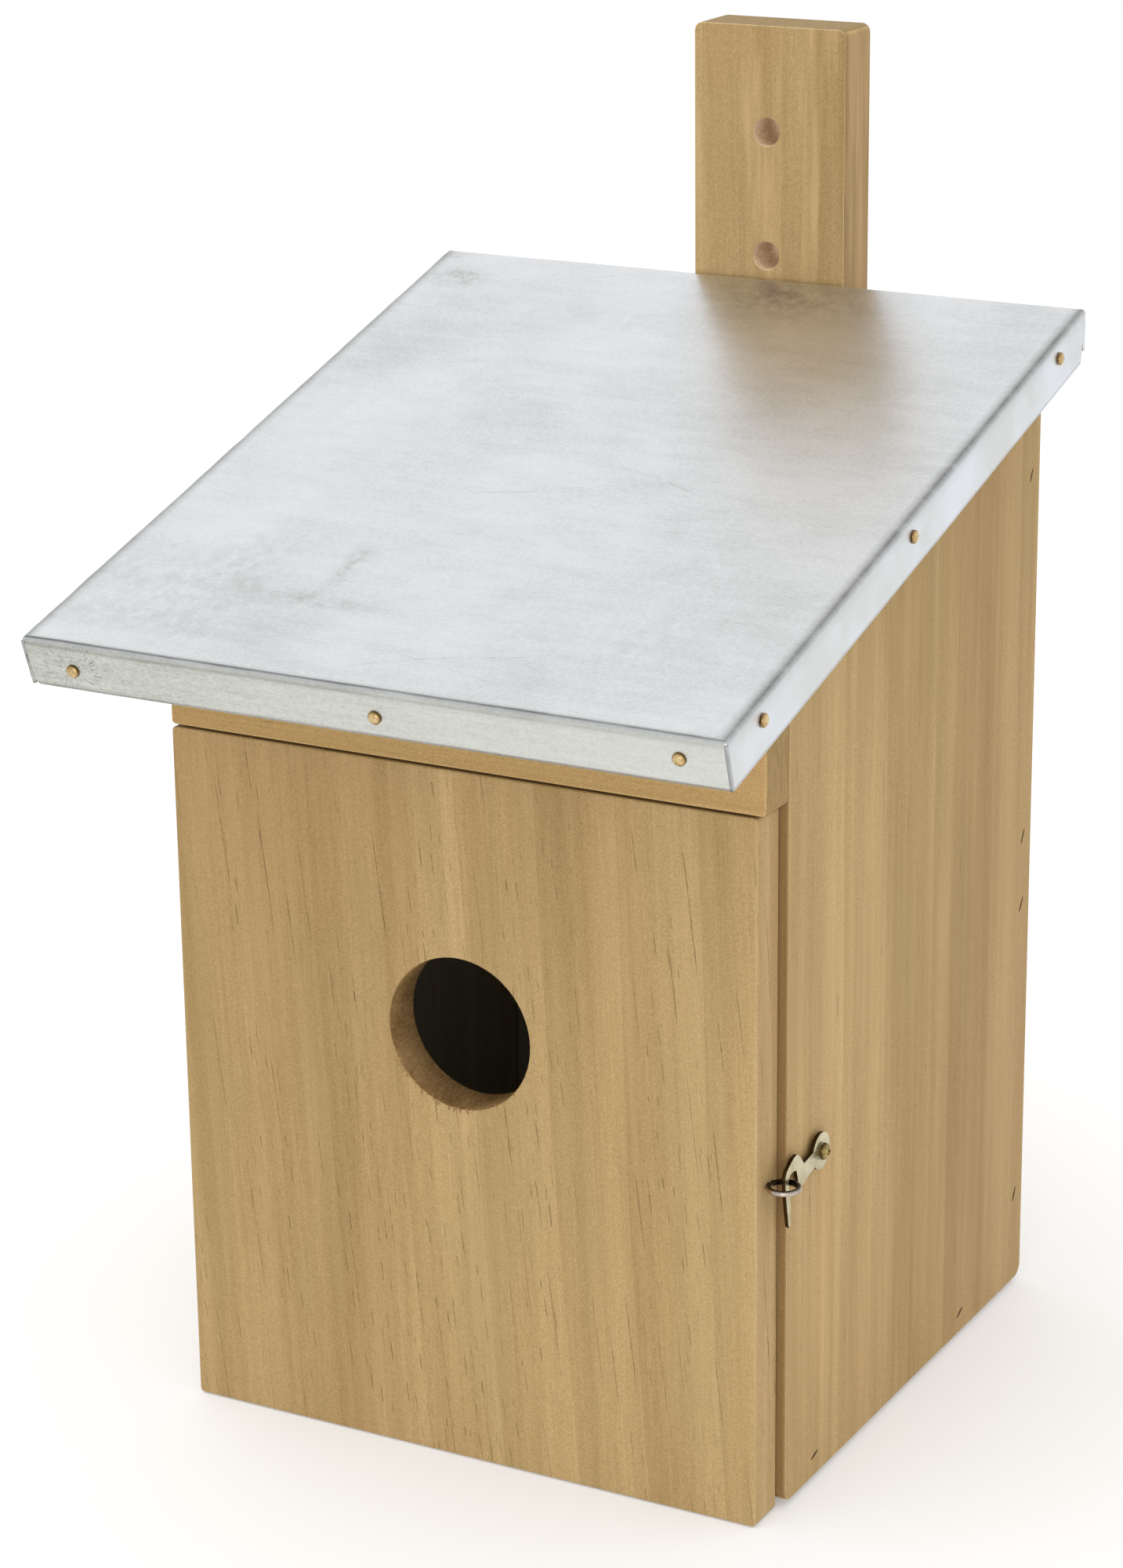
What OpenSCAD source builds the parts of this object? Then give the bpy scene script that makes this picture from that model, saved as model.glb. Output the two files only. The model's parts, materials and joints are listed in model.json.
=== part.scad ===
// Birdhouse with a side-hung front door, a folded metal roof cap and a rear fixing batten.
// Units are millimetres. X runs to the right, the door faces -Y, +Z is up.
// The origin is at the base, in the middle of the overall width and depth.

/* [Box] */
// Width across the outer faces of the two side panels
box_width = 133; // [120:1:150]
// Depth from the door's front face to the back panel's rear face
box_depth = 132.3; // [125:0.1:150]
// Thickness of the door, sides, back and floor
board_thickness = 9.5; // [8:0.5:12]
// Height of the roof board's underside above the base, in the plane of the door's front face
front_height = 175.2; // [172:0.1:190]
// How far the side panels stop above the base
side_lift = 1.2; // [0.5:0.1:3]
// Radius of the side panels' two lower corners
corner_radius = 3; // [1:0.5:5]

/* [Door] */
// Height of the door
door_height = 148.4; // [140:0.1:150]
// Gap under the door
door_lift = 0.25; // [0.2:0.05:1]
// How much narrower the door is than the box, all on the latch side
door_side_step = 1.8; // [1:0.1:3]
// Clearance behind the door and above it
door_gap = 0.3; // [0.3:0.05:0.6]
// Radius of the entrance hole
entrance_radius = 16; // [13:0.5:17]
// Height of the entrance hole's centre above the base
entrance_height = 93.65; // [85:0.05:105]

/* [Roof] */
// Pitch of the roof in degrees, rising to the back
roof_pitch = 15.55; // [12:0.05:18]
// Width of the metal cap
roof_width = 152.5; // [150:0.5:165]
// How far the cap's front edge stands out in front of the door
roof_overhang = 36.3; // [30:0.1:45]
// Thickness of the roof board
roof_board_thickness = 9.5; // [8:0.5:12]
// Thickness of the cap's sheet metal
sheet = 0.6; // [0.5:0.1:1]
// Depth of the cap's front and side flanges, square to the roof
flange_depth = 10.5; // [10.5:0.1:14]
// Height of the cap's plumb rear flange
rear_flange_height = 8.9; // [6:0.1:9]
// Gap between the rear flange and the batten
rear_flange_gap = 0.8; // [0.5:0.1:2]
// How far the side flanges are trimmed forward at their lower rear corner
side_flange_trim = 2.1; // [0:0.1:3]

/* [Batten] */
// Width of the fixing batten
batten_width = 35.3; // [30:0.1:45]
// Thickness of the fixing batten
batten_thickness = 12.6; // [10:0.1:18]
// Height of the batten's top above the base
batten_top = 275.9; // [260:0.1:300]
// How far the batten sits to the right of the box's middle
batten_offset = 2.8; // [0:0.1:5]
// Radius of the two fixing holes
fixing_hole_radius = 3; // [2:0.5:4]
// Distance between the two fixing holes
fixing_hole_spacing = 26.6; // [20:0.1:35]
// Distance from the batten's top to its upper fixing hole
fixing_hole_drop = 22.5; // [15:0.1:25]

/* [Hinges] */
// Height of each hinge leaf
leaf_height = 22; // [20:1:26]
// Width of each leaf from the pin's axis
leaf_width = 7; // [6.5:0.5:8]
// Thickness of the leaves
leaf_thickness = 0.8; // [0.6:0.1:1]
// Outer radius of the knuckles
knuckle_radius = 1.5; // [1.5:0.1:2]
// Radius of the hinge pins
hinge_pin_radius = 0.8; // [0.6:0.05:0.9]
// Distance from the door's ends to the middle of each hinge
hinge_inset = 25; // [18:1:35]

/* [Latch] */
// Height of the hook's pivot above the base
latch_height = 73.6; // [60:0.1:90]
// Distance of the hook's pivot behind the door's front face
latch_setback = 22.2; // [21.5:0.1:23]
// Thickness of the hook's plate
hook_thickness = 0.8; // [0.6:0.1:1]
// Gap between the side panel and the hook
hook_standoff = 0.9; // [0.5:0.1:1.5]
// Radius of the pivot screw's shank
pivot_radius = 1.1; // [0.9:0.1:1.3]
// Wire radius of the screw eye
eye_wire_radius = 0.6; // [0.5:0.05:0.7]
// Radius of the screw eye's ring, to the middle of its wire
eye_ring_radius = 2.95; // [2.8:0.05:3.1]

/* [Fasteners] */
// Radius of the cap pins' domed heads
cap_pin_radius = 1.4; // [1:0.1:2]
// Length of the brads
brad_length = 25; // [20:1:28]
// Radius of the flat nail heads
nail_head_radius = 2; // [1.5:0.1:2.5]

/* [Hidden] */
$fn = 64;
wood_color = [0.73, 0.62, 0.43];
sheet_color = [0.82, 0.83, 0.84];
brass_color = [0.80, 0.67, 0.38];
steel_color = [0.66, 0.66, 0.67];
half_width = box_width / 2;
inner_half = half_width - board_thickness;
half_roof = roof_width / 2;
side_front = board_thickness + door_gap;
back_front = box_depth - board_thickness;
batten_rear = box_depth + batten_thickness;
// The fixing holes are drilled a little to the left of the batten's middle
hole_shift = 0.6;
// Where the door's front face lies so that the whole part is centred on the origin
door_face = (roof_overhang - batten_rear) / 2;
door_left = -half_width;
door_right = half_width - door_side_step;
door_middle = (door_left + door_right) / 2;
door_top = door_lift + door_height;
rail_bottom = door_top + door_gap + 0.2;
roof_rear = box_depth - rear_flange_gap;
roof_stack = (sheet + roof_board_thickness) / cos(roof_pitch);
hinge_x = -half_width - knuckle_radius;
hinge_y = board_thickness + door_gap / 2;
upper_hinge_z = door_top - hinge_inset;
lower_hinge_z = door_lift + hinge_inset;
knuckle_gap = 0.3;
knuckle_third = leaf_height / 3;
leaf_root = knuckle_radius + 0.4;
leaf_screw_reach = 4.5;
leaf_screw_spread = 13;
small_screw_radius = 1.1;
small_screw_head = 1.8;
screw_slot = 0.5;
eye_x = door_right + eye_ring_radius + eye_wire_radius - 0.2;
eye_y = 5.3;
eye_z = latch_height - 1.35;
eye_shank_length = 12;
hook_eye_radius = 3.8;
hook_front = half_width + hook_standoff + hook_thickness;
pivot_head_gap = 0.6;
pivot_head_radius = 1.75;
pivot_head_height = 1.3;
nail_radius = 1;
proud = 0.05;
side_brad_heights = [22.3, 90.8, 106.4, 186.4];
floor_brad_depths = [23.7, 97.8];

// Height of the roof board's underside at a depth behind the door's front face
function roof_under(y) = front_height + y * tan(roof_pitch);
// Height of the metal cap's top at a depth behind the door's front face
function roof_top(y) = roof_under(y) + roof_stack;
// A point in the roof's own directions: along the slope from the front edge, then square down
function roof_point(along, down) = [
  -roof_overhang + along * cos(roof_pitch) + down * sin(roof_pitch),
  roof_top(-roof_overhang) + along * sin(roof_pitch) - down * cos(roof_pitch)];

// Moves from the door's front face to the part's own origin
module placed() {
  translate([0, door_face, 0]) children();
}

// A flat shape drawn in depth and height, given its thickness along the width
module across(x_from, x_to) {
  translate([x_from, 0, 0]) rotate([90, 0, 90]) linear_extrude(x_to - x_from) children();
}

module dome(radius, height) {
  ball = (radius * radius + height * height) / (2 * height);
  intersection() {
    cylinder(r = radius, h = height);
    translate([0, 0, height - ball]) sphere(r = ball, $fn = 96);
  }
}

// What a rounded corner takes away, with the corner at the origin and the wood at +X, +Y
module corner_waste(radius) {
  difference() {
    translate([-1, -1]) square(radius + 1);
    translate([radius, radius]) circle(r = radius);
  }
}

module door_blank() {
  translate([door_left, 0, door_lift])
    cube([door_right - door_left, board_thickness, door_height]);
}

module front_door() {
  color(wood_color) placed() difference() {
    door_blank();
    translate([door_middle, -1, entrance_height])
      rotate([-90, 0, 0]) cylinder(r = entrance_radius, h = board_thickness + 2, $fn = 96);
  }
}

module side_shape() {
  difference() {
    polygon([[side_front, side_lift], [box_depth, side_lift],
      [box_depth, roof_under(box_depth)], [side_front, roof_under(side_front)]]);
    translate([side_front, side_lift]) corner_waste(corner_radius);
    translate([box_depth, side_lift]) mirror([1, 0]) corner_waste(corner_radius);
  }
}

module side_panel_left() {
  color(wood_color) placed() across(-half_width, -inner_half) side_shape();
}

module side_panel_right() {
  color(wood_color) placed() across(inner_half, half_width) side_shape();
}

module back_panel() {
  color(wood_color) placed() across(-inner_half, inner_half)
    polygon([[back_front, 0], [box_depth, 0],
      [box_depth, roof_under(box_depth)], [back_front, roof_under(back_front)]]);
}

module floor_panel() {
  color(wood_color) placed() translate([-inner_half, side_front, 0])
    cube([2 * inner_half, back_front - side_front, board_thickness]);
}

module front_rail() {
  color(wood_color) placed() across(-half_width, half_width)
    polygon([[0, rail_bottom], [side_front, rail_bottom],
      [side_front, roof_under(side_front)], [0, roof_under(0)]]);
}

module roof_board() {
  board_end = roof_rear - sheet - 0.05;
  reach = half_roof - sheet - 0.05;
  color(wood_color) placed() across(-reach, reach)
    polygon([roof_point(sheet, sheet), [board_end, roof_top(board_end) - sheet / cos(roof_pitch)],
      [board_end, roof_under(board_end)], roof_point(sheet, sheet + roof_board_thickness)]);
}

module side_flange(x_from) {
  bottom_rear = roof_rear - side_flange_trim;
  across(x_from, x_from + sheet)
    polygon([roof_point(0, 0), [roof_rear, roof_top(roof_rear)],
      [bottom_rear, roof_top(bottom_rear) - flange_depth / cos(roof_pitch)],
      roof_point(0, flange_depth)]);
}

module roof_cap() {
  inside = roof_rear - sheet;
  flange_foot = roof_top(roof_rear) - rear_flange_height;
  color(sheet_color) placed() union() {
    across(-half_roof, half_roof)
      polygon([roof_point(0, flange_depth), roof_point(0, 0), [roof_rear, roof_top(roof_rear)],
        [roof_rear, flange_foot], [inside, flange_foot],
        [inside, roof_top(inside) - sheet / cos(roof_pitch)],
        roof_point(sheet, sheet), roof_point(sheet, flange_depth)]);
    side_flange(-half_roof);
    side_flange(half_roof - sheet);
  }
}

module cap_pin() {
  dome(cap_pin_radius, 0.7);
  translate([0, 0, -10]) cylinder(r = 0.7, h = 10);
}

module roof_cap_pins() {
  side_pins = [14.8, 83.2, 158.9];
  front_pins = [[-65.4, 6.4], [2.4, 6.4], [65.9, 5.2]];
  color(brass_color) placed() {
    for (along = side_pins, side = [-1, 1]) {
      spot = roof_point(along, 4.2);
      translate([side * half_roof, spot[0], spot[1]]) rotate([0, side * 90, 0]) cap_pin();
    }
    for (pin = front_pins) {
      spot = roof_point(0, pin[1]);
      translate([pin[0], spot[0], spot[1]]) rotate([90 + roof_pitch, 0, 0]) cap_pin();
    }
  }
}

module mounting_batten() {
  color(wood_color) placed() difference() {
    translate([batten_offset - batten_width / 2, box_depth, 0])
      cube([batten_width, batten_thickness, batten_top]);
    for (drop = [0, fixing_hole_spacing])
      translate([batten_offset - hole_shift, box_depth - 1, batten_top - fixing_hole_drop - drop])
        rotate([-90, 0, 0]) cylinder(r = fixing_hole_radius, h = batten_thickness + 2);
  }
}

// A flat-headed nail: its head stands on z = 0 and its shank runs down
module nail(length) {
  cylinder(r = nail_head_radius, h = 0.8);
  translate([0, 0, -length]) cylinder(r = nail_radius, h = length);
}

module batten_nails() {
  color(steel_color) placed()
    for (height = [30, 95, 160], step = [-8, 8])
      translate([batten_offset + step, back_front, height + step / 2])
        rotate([90, 0, 0]) nail(board_thickness + batten_thickness - 3);
}

module roof_nails() {
  top_gap = sheet + 1;
  color(steel_color) placed()
    for (side = [-1, 1], depth = [30, 75, 118]) {
      x = side * (half_width - board_thickness / 2);
      translate([x, depth, roof_top(depth) - top_gap / cos(roof_pitch)])
        rotate([roof_pitch, 0, 0]) nail(28);
    }
}

// A gun-driven brad: its flush head is at z = 0 and its shank runs down
module brad() {
  translate([-1, -0.55, -0.9]) cube([2, 1.1, 0.9]);
  translate([-0.6, -0.5, -brad_length]) cube([1.2, 1, brad_length - 0.5]);
}

module side_brad(side, depth, height, tilt) {
  translate([side * (half_width + proud), depth, height])
    rotate([0, side * 90, 0]) rotate([0, 0, tilt]) brad();
}

module side_to_back_brads() {
  color(steel_color) placed()
    for (side = [-1, 1], height = side_brad_heights)
      side_brad(side, box_depth - board_thickness / 2, height, 20);
}

module side_to_floor_brads() {
  color(steel_color) placed()
    for (side = [-1, 1], depth = floor_brad_depths)
      side_brad(side, depth, side_lift + board_thickness / 2, 70);
}

module back_to_floor_brads() {
  color(steel_color) placed()
    for (x = [-35, 45])
      translate([x, box_depth + proud, board_thickness / 2])
        rotate([-90, 0, 0]) rotate([0, 0, 70]) brad();
}

module rail_brads() {
  color(steel_color) placed()
    for (side = [-1, 1], height = [rail_bottom + 11, rail_bottom + 20])
      translate([side * (half_width - board_thickness / 2), -proud, height])
        rotate([90, 0, 0]) rotate([0, 0, 25]) brad();
}

// One knuckle of a hinge, from one height to another along the pin
module knuckle(low, high, toward) {
  translate([0, 0, low]) cylinder(r = knuckle_radius, h = high - low);
  translate([knuckle_radius - leaf_thickness, toward > 0 ? 0 : -leaf_root - 0.1, low])
    cube([leaf_thickness, leaf_root + 0.1, high - low]);
}

module leaf_blank(toward) {
  translate([knuckle_radius - leaf_thickness, toward > 0 ? leaf_root : -leaf_width,
    -leaf_height / 2])
    cube([leaf_thickness, leaf_width - leaf_root, leaf_height]);
}

// A hinge leaf round the pin's axis: toward = 1 lies on the side panel, -1 on the door
module hinge_leaf(toward) {
  difference() {
    union() {
      leaf_blank(toward);
      if (toward > 0) {
        knuckle(-leaf_height / 2, -knuckle_third / 2 - knuckle_gap / 2, toward);
        knuckle(knuckle_third / 2 + knuckle_gap / 2, leaf_height / 2, toward);
      } else {
        knuckle(-knuckle_third / 2 + knuckle_gap / 2, knuckle_third / 2 - knuckle_gap / 2, toward);
      }
    }
    translate([0, 0, -leaf_height]) cylinder(r = hinge_pin_radius + 0.06, h = 2 * leaf_height);
    for (spread = [-leaf_screw_spread / 2, leaf_screw_spread / 2])
      translate([knuckle_radius - leaf_thickness, toward * leaf_screw_reach, spread])
        rotate([0, 90, 0]) {
          translate([0, 0, -1]) cylinder(r = small_screw_radius + 0.05, h = leaf_thickness + 2);
          cylinder(r1 = small_screw_head + 0.05, r2 = small_screw_radius + 0.05,
            h = leaf_thickness - 0.1);
        }
  }
}

module hinge_pin() {
  translate([0, 0, -leaf_height / 2 - 0.2]) cylinder(r = hinge_pin_radius, h = leaf_height + 0.4);
  translate([0, 0, leaf_height / 2 + 0.1]) dome(knuckle_radius - 0.2, 0.7);
  translate([0, 0, -leaf_height / 2 - 0.1]) mirror([0, 0, 1]) dome(knuckle_radius - 0.2, 0.7);
}

module hinge_place(height) {
  placed() translate([hinge_x, hinge_y, height]) children();
}

// A countersunk screw along +Z, its head's face at z = 0
module small_screw(length) {
  difference() {
    union() {
      cylinder(r1 = small_screw_head, r2 = small_screw_radius, h = leaf_thickness - 0.1);
      cylinder(r = small_screw_radius, h = length);
    }
    translate([-2, -screw_slot / 2, -1]) cube([4, screw_slot, 1.3]);
  }
}

module leaf_screws(toward, length) {
  for (height = [lower_hinge_z, upper_hinge_z], spread = [-1, 1])
    hinge_place(height)
      translate([knuckle_radius - leaf_thickness, toward * leaf_screw_reach,
        spread * leaf_screw_spread / 2])
        rotate([0, 90, 0]) rotate([0, 0, 30 * spread + height]) small_screw(length);
}

module upper_hinge_fixed_leaf() {
  color(brass_color) hinge_place(upper_hinge_z) hinge_leaf(1);
}

module upper_hinge_door_leaf() {
  color(brass_color) hinge_place(upper_hinge_z) hinge_leaf(-1);
}

module upper_hinge_pin() {
  color(brass_color) hinge_place(upper_hinge_z) hinge_pin();
}

module lower_hinge_fixed_leaf() {
  color(brass_color) hinge_place(lower_hinge_z) hinge_leaf(1);
}

module lower_hinge_door_leaf() {
  color(brass_color) hinge_place(lower_hinge_z) hinge_leaf(-1);
}

module lower_hinge_pin() {
  color(brass_color) hinge_place(lower_hinge_z) hinge_pin();
}

module hinge_fixed_screws() {
  color(brass_color) leaf_screws(1, 9);
}

module hinge_door_screws() {
  color(brass_color) leaf_screws(-1, 11);
}

// The hook's outline round its pivot: eye, arm, thumb hump, ring slot and leg
module hook_shape() {
  difference() {
    union() {
      circle(r = hook_eye_radius);
      polygon([[-2.2, 2.8], [-3.6, 1.0], [-8.0, 0.4], [-9.0, 1.6], [-10.4, 3.1], [-11.4, 3.5],
        [-12.6, 3.3], [-14.0, 2.7], [-15.8, 1.6], [-16.5, 0.5], [-16.5, -0.8], [-16.1, -3.6],
        [-15.6, -6.6], [-14.9, -10.2], [-14.5, -10.8], [-14.1, -10.2], [-14.0, -6.6],
        [-14.5, -3.6], [-15.0, -0.9], [-14.8, -0.1], [-14.2, 0.4], [-12.4, 0.5], [-11.4, 0.1],
        [-10.8, -1.8], [-10.2, -3.6], [-9.4, -4.1], [-8.2, -3.8], [-5.4, -2.9], [-3.0, -2.4],
        [-1.0, -1.0]]);
    }
    circle(r = pivot_radius + 0.1);
  }
}

module latch_hook() {
  color(brass_color) placed() translate([0, latch_setback, latch_height])
    across(hook_front - hook_thickness, hook_front) hook_shape();
}

module latch_screw() {
  head_base = hook_front + pivot_head_gap;
  color(brass_color) placed() translate([0, latch_setback, latch_height]) difference() {
    union() {
      translate([head_base - 0.1, 0, 0]) rotate([0, 90, 0])
        dome(pivot_head_radius, pivot_head_height);
      translate([half_width - 8.5, 0, 0]) rotate([0, 90, 0])
        cylinder(r = pivot_radius, h = head_base + 0.2 - half_width + 8.5);
    }
    for (turn = [25, 115])
      translate([head_base + pivot_head_height - 0.5, 0, 0]) rotate([turn, 0, 0])
        translate([0, -1.1, -0.25]) cube([2, 2.2, 0.5]);
  }
}

module screw_eye() {
  color(steel_color) placed() translate([eye_x, eye_y, eye_z]) union() {
    rotate_extrude() translate([eye_ring_radius, 0]) circle(r = eye_wire_radius, $fn = 32);
    translate([-eye_ring_radius - eye_shank_length, 0, 0]) rotate([0, 90, 0])
      cylinder(r = eye_wire_radius, h = eye_shank_length);
  }
}

front_door();
side_panel_left();
side_panel_right();
back_panel();
floor_panel();
front_rail();
roof_board();
roof_cap();
roof_cap_pins();
mounting_batten();
batten_nails();
upper_hinge_fixed_leaf();
upper_hinge_door_leaf();
upper_hinge_pin();
lower_hinge_fixed_leaf();
lower_hinge_door_leaf();
lower_hinge_pin();
hinge_fixed_screws();
hinge_door_screws();
latch_hook();
latch_screw();
screw_eye();
side_to_back_brads();
side_to_floor_brads();
back_to_floor_brads();
rail_brads();
roof_nails();
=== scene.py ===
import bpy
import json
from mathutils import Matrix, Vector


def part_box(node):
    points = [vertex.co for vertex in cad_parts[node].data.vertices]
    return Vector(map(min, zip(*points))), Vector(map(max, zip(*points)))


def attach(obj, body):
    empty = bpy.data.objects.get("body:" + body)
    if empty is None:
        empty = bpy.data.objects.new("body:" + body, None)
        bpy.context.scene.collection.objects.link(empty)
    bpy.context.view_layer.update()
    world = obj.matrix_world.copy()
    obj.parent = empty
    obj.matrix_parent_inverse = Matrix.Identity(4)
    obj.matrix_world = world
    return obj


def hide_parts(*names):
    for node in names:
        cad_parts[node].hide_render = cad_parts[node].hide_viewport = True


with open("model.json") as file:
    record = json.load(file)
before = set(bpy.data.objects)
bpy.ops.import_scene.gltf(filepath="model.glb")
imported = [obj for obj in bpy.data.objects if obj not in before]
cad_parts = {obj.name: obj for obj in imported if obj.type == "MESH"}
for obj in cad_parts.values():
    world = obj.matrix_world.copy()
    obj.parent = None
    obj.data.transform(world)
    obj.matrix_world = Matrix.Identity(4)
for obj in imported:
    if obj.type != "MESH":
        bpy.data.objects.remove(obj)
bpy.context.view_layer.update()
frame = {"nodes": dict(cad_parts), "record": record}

import json
import math
import random

import bmesh
import bpy
from mathutils import Matrix, Vector, noise

MM = 0.001
LEFT, RIGHT = Vector((-1, 0, 0)), Vector((1, 0, 0))
FRONT, REAR = Vector((0, -1, 0)), Vector((0, 1, 0))
UP = Vector((0, 0, 1))
scene = bpy.context.scene
scene.view_settings.view_transform = "Standard"


# ---------- small helpers ----------

def tone(red, green, blue):
    """A display colour from 0 to 255 as linear light."""
    def linear(value):
        value /= 255
        return value / 12.92 if value <= 0.04045 else ((value + 0.055) / 1.055) ** 2.4
    return (linear(red), linear(green), linear(blue), 1.0)


def add_object(name, data):
    piece = bpy.data.objects.new(name, data)
    scene.collection.objects.link(piece)
    return piece


def mesh_from(work, name):
    mesh = bpy.data.meshes.new(name)
    work.to_mesh(mesh)
    work.free()
    return mesh


def drop_object(piece):
    mesh = piece.data
    bpy.data.objects.remove(piece)
    if mesh.users == 0:
        bpy.data.meshes.remove(mesh)


def baked(piece, name):
    """The piece with its modifiers applied, as a new plain mesh object."""
    graph = bpy.context.evaluated_depsgraph_get()
    mesh = bpy.data.meshes.new_from_object(
        piece.evaluated_get(graph), preserve_all_data_layers=True, depsgraph=graph
    )
    mesh.name = name
    result = add_object(name, mesh)
    drop_object(piece)
    return result


def finish_piece(piece, body, slot, *nodes):
    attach(piece, body)
    if nodes:
        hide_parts(*nodes)
    return piece


# ---------- node helpers ----------

def feed(tree, socket, value):
    """Link the socket to another one, or give it a plain value."""
    if isinstance(value, bpy.types.NodeSocket):
        tree.links.new(value, socket)
    else:
        socket.default_value = value


def add_node(tree, kind, inputs=None, **settings):
    node = tree.nodes.new(kind)
    for key, value in settings.items():
        setattr(node, key, value)
    for key, value in (inputs or {}).items():
        feed(tree, node.inputs[key], value)
    return node


class Shader:
    """A principled material and short calls for the nodes that feed it. The material
    functions below call theirs s."""

    def __init__(self, name):
        self.material = bpy.data.materials.new(name)
        self.material.use_nodes = True
        self.tree = self.material.node_tree
        self.body = self.tree.nodes["Principled BSDF"]

    def add(self, kind, inputs=None, **settings):
        return add_node(self.tree, kind, inputs, **settings)

    def place(self):
        return self.add("ShaderNodeTexCoord").outputs["Object"]

    def attribute(self, name):
        return self.add("ShaderNodeAttribute", attribute_name=name).outputs["Fac"]

    def math(self, operation, first, second=0.0, third=0.0, clamp=False):
        return self.add(
            "ShaderNodeMath", {0: first, 1: second, 2: third}, operation=operation, use_clamp=clamp
        ).outputs[0]

    def times(self, first, second, clamp=False):
        return self.math("MULTIPLY", first, second, clamp=clamp)

    def times_plus(self, first, second, third):
        return self.math("MULTIPLY_ADD", first, second, third)

    def split(self, vector):
        return self.add("ShaderNodeSeparateXYZ", {0: vector}).outputs

    def join(self, x, y, z):
        return self.add("ShaderNodeCombineXYZ", {0: x, 1: y, 2: z}).outputs[0]

    def cloud(self, vector, scale, shift=(0, 0, 0), detail=2.0, roughness=0.5):
        """Soft noise on the vector, scaled and shifted along each axis."""
        spot = self.add("ShaderNodeMapping", {0: vector, 1: shift, 3: scale}).outputs[0]
        return self.add("ShaderNodeTexNoise", {
            "Vector": spot, "Scale": 1.0, "Detail": detail, "Roughness": roughness,
        }).outputs[0]

    def mix(self, amount, first, second):
        node = self.add("ShaderNodeMix", data_type="RGBA")
        for index, value in ((0, amount), (6, first), (7, second)):
            feed(self.tree, node.inputs[index], value)
        return node.outputs[2]

    def band(self, value, low, high, to_low=0.0, to_high=1.0):
        return self.add(
            "ShaderNodeMapRange", {0: value, 1: low, 2: high, 3: to_low, 4: to_high}
        ).outputs[0]

    def ramp(self, value, stops):
        node = self.add("ShaderNodeValToRGB", {0: value})
        marks = node.color_ramp.elements
        while len(marks) < len(stops):
            marks.new(0.5)
        for mark, (position, colour) in zip(marks, stops):
            mark.position = position
            mark.color = colour
        return node.outputs[0]

    def bump(self, height, strength, distance):
        normal = self.add(
            "ShaderNodeBump", {"Height": height, "Strength": strength, "Distance": distance}
        ).outputs[0]
        self.set(Normal=normal)

    def set(self, **values):
        for key, value in values.items():
            feed(self.tree, self.body.inputs[key.replace("_", " ")], value)


# ---------- materials ----------

def dashes(s, across, along, cell, fill, width, length, shift):
    """Tapered dark dashes along the grain: one at most in each cell (across, along)."""
    u = s.times_plus(across, 1 / cell[0], shift)
    v = s.times_plus(along, 1 / cell[1], shift * 0.37)
    cells = s.add(
        "ShaderNodeTexVoronoi",
        {"Vector": s.join(u, v, 0.0), "Scale": 1.0, "Randomness": 0.9},
        voronoi_dimensions="2D",
    )
    middle = s.split(cells.outputs["Position"])
    lot = s.split(cells.outputs["Color"])
    off = s.times(s.math("ABSOLUTE", s.math("SUBTRACT", u, middle[0])), cell[0])
    run = s.times(s.math("ABSOLUTE", s.math("SUBTRACT", v, middle[1])), cell[1])
    reach = s.times_plus(lot[1], length * 0.38, length * 0.12)
    taper = s.math("SUBTRACT", 1.0, s.math("DIVIDE", run, reach))
    half = s.times(s.math("MINIMUM", s.times(taper, 2.0), 1.0), width / 2)
    inside = s.times(s.math("SUBTRACT", half, off), 2.4 / width, clamp=True)
    chosen = s.math("GREATER_THAN", lot[0], 1 - fill)
    depth = s.times_plus(lot[2], 0.6, 0.4)
    return s.times(s.times(inside, chosen), depth)


def resin_dashes(s, across, z, grown, shift, dash, seed):
    """Short dashes crowd together in stripes, long ones are thin and lie alone."""
    crowd = s.band(s.cloud(grown, (75, 75, 9), shift), 0.42, 0.56)
    short_lines = s.times(dashes(
        s, across, z, (2.1 * MM, 9 * MM), dash * 1.3, 0.38 * MM, 8 * MM, seed), crowd)
    long_lines = dashes(
        s, across, z, (4.6 * MM, 40 * MM), dash, 0.32 * MM, 40 * MM, seed + 3.3)
    broken = s.band(s.cloud(grown, (500, 500, 300), shift), 0.38, 0.52, 0.45, 1.0)
    return s.times(s.math("ADD", short_lines, long_lines), broken, clamp=True)


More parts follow.
